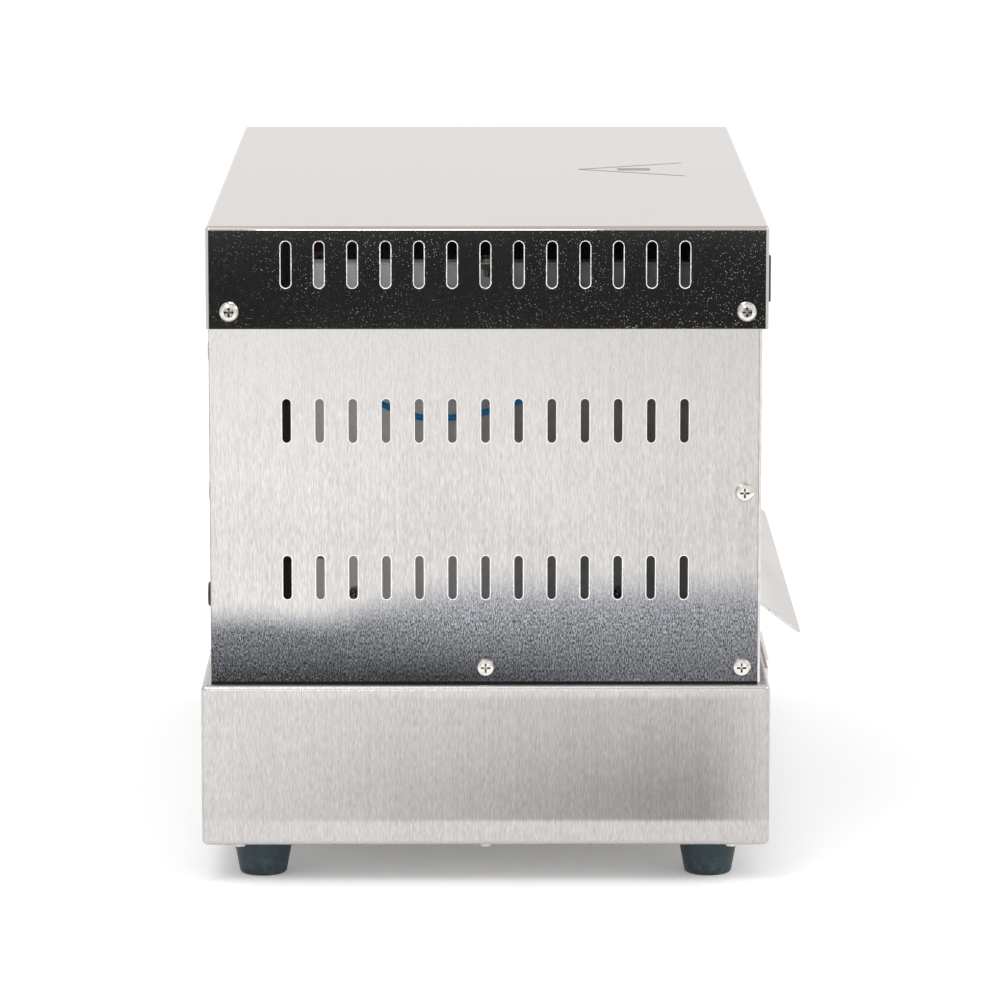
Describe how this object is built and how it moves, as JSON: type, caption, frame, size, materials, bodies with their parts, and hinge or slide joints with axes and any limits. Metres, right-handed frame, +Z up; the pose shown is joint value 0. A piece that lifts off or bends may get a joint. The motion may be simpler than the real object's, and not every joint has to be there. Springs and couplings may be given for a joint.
{
  "type": "rotisserie oven",
  "caption": "Countertop rotisserie oven: slotted steel housing on a base with rubber feet, flip-up glass door, motor-driven spit with forks, grease drawer, knobs and rocker switches.",
  "frame": {"origin": "on the floor under the middle of the oven, where the rubber feet stand", "axes": "+X along the oven's width towards its right-hand end (drive side), -Y towards its front, +Z up"},
  "size_m": [0.508, 0.3258, 0.336],
  "materials": {
    "brushed_stainless": "vertical brushed stainless sheet",
    "polished_stainless": "bright stainless sheet with a near-mirror skirt",
    "chamber_steel": "mill-finish steel sheet",
    "nickel_screws": "nickel-plated steel",
    "bright_reflector": "bright aluminised sheet",
    "foot_rubber": "matt slate-blue rubber",
    "heater_sheath": "dark oxidised steel sheath",
    "white_ceramic": "unglazed ceramic",
    "brass": "plain turned or stamped brass",
    "motor_black": "black painted steel",
    "control_plastic": "cream heat-resistant plastic",
    "copper": "bare copper tube",
    "black_plastic": "black moulded plastic",
    "pilot_lens": "amber-red lens",
    "clear_glass": "clear glass",
    "door_glass": "tempered clear glass",
    "blue_insulation": "blue silicone insulation",
    "brown_insulation": "brown silicone insulation",
    "mineral_wool": "mineral wool slab",
    "spit_steel": "plated steel rod"
  },
  "bodies": {
    "housing": {"base_shell": "brushed_stainless", "base_plate": "chamber_steel", "feet": "foot_rubber", "base_screws": "nickel_screws", "wall_bolts": "nickel_screws", "left_side_panel": "brushed_stainless", "right_side_panel": "brushed_stainless", "rear_panel": "brushed_stainless", "front_frame": "brushed_stainless", "top_cover": "polished_stainless", "panel_screws": "nickel_screws", "chamber_left_wall": "chamber_steel", "chamber_right_wall": "chamber_steel", "chamber_rear_wall": "chamber_steel", "chamber_ceiling": "chamber_steel", "chamber_floor": "chamber_steel", "heat_reflector": "bright_reflector", "top_heaters": "heater_sheath", "back_heater": "heater_sheath", "heater_insulators": "white_ceramic", "heater_terminals": "brass", "heater_clips": "chamber_steel", "spit_support": "chamber_steel", "drive_bush": "brass", "motor_bracket": "chamber_steel", "motor": "motor_black", "thermostat_body": "control_plastic", "thermostat_bulb": "copper", "timer_body": "control_plastic", "switch_bodies": "black_plastic", "pilot_lamps": "pilot_lens", "lamp_holder": "white_ceramic", "lamp_bulb": "clear_glass", "lamp_glass": "clear_glass", "terminal_block": "control_plastic", "blue_wires": "blue_insulation", "brown_wires": "brown_insulation", "cord_gland": "black_plastic", "insulation": "mineral_wool", "hinge_pins": "nickel_screws", "door_magnet": "motor_black", "drawer_rails": "chamber_steel"},
    "door": {"door_frame": "brushed_stainless", "door_glass": "door_glass", "door_retainer": "chamber_steel", "door_bushes": "brass"},
    "drawer": {"grease_drawer": "bright_reflector", "drawer_front": "brushed_stainless"},
    "drive": {"spit_rod": "spit_steel", "drive_socket": "spit_steel", "drive_gear": "brass"},
    "pinion": {"motor_pinion": "spit_steel"},
    "left_fork": {"left_fork": "spit_steel"},
    "right_fork": {"right_fork": "spit_steel"},
    "left_screw": {"left_thumb_screw": "spit_steel"},
    "right_screw": {"right_thumb_screw": "spit_steel"},
    "thermostat_knob": {"thermostat_knob": "black_plastic"},
    "timer_knob": {"timer_knob": "black_plastic"},
    "power_rocker": {"power_rocker": "black_plastic"},
    "lamp_rocker": {"lamp_rocker": "black_plastic"}
  },
  "joints": [
    {"name": "door_hinge", "type": "hinge", "parent": "housing", "child": "door", "pos_m": [0, -0.133, 0.275], "axis": [-1, 0, 0], "range_deg": [0, 100]},
    {"name": "drawer_slide", "type": "slide", "parent": "housing", "child": "drawer", "axis": [0, -1, 0], "range_m": [0, 0.2]},
    {"name": "spit_spin", "type": "hinge", "parent": "housing", "child": "drive", "pos_m": [0, -0.017, 0.196], "axis": [1, 0, 0], "continuous": true},
    {"name": "pinion_spin", "type": "hinge", "parent": "housing", "child": "pinion", "pos_m": [0.206, -0.017, 0.151], "axis": [1, 0, 0], "continuous": true},
    {"name": "left_fork_slide", "type": "slide", "parent": "drive", "child": "left_fork", "axis": [1, 0, 0], "range_m": [-0.04, 0.03]},
    {"name": "right_fork_slide", "type": "slide", "parent": "drive", "child": "right_fork", "axis": [1, 0, 0], "range_m": [-0.03, 0.04]},
    {"name": "left_screw_turn", "type": "hinge", "parent": "left_fork", "child": "left_screw", "pos_m": [-0.121, -0.017, 0.21], "axis": [0, 0, 1], "range_deg": [0, 360]},
    {"name": "right_screw_turn", "type": "hinge", "parent": "right_fork", "child": "right_screw", "pos_m": [0.121, -0.017, 0.21], "axis": [0, 0, 1], "range_deg": [0, 360]},
    {"name": "thermostat_turn", "type": "hinge", "parent": "housing", "child": "thermostat_knob", "pos_m": [0.166, -0.13, 0.308], "axis": [0, 1, 0], "range_deg": [0, 270]},
    {"name": "timer_turn", "type": "hinge", "parent": "housing", "child": "timer_knob", "pos_m": [0.104, -0.13, 0.308], "axis": [0, 1, 0], "range_deg": [0, 300]},
    {"name": "power_rock", "type": "hinge", "parent": "housing", "child": "power_rocker", "pos_m": [-0.175, -0.141, 0.3015], "axis": [0, 0, 1], "range_deg": [-14, 0]},
    {"name": "lamp_rock", "type": "hinge", "parent": "housing", "child": "lamp_rocker", "pos_m": [-0.118, -0.141, 0.3015], "axis": [0, 0, 1], "range_deg": [0, 14]}
  ],
  "couplings": [
    {"joint": "pinion_spin", "follows": "spit_spin", "ratio": -4}
  ]
}
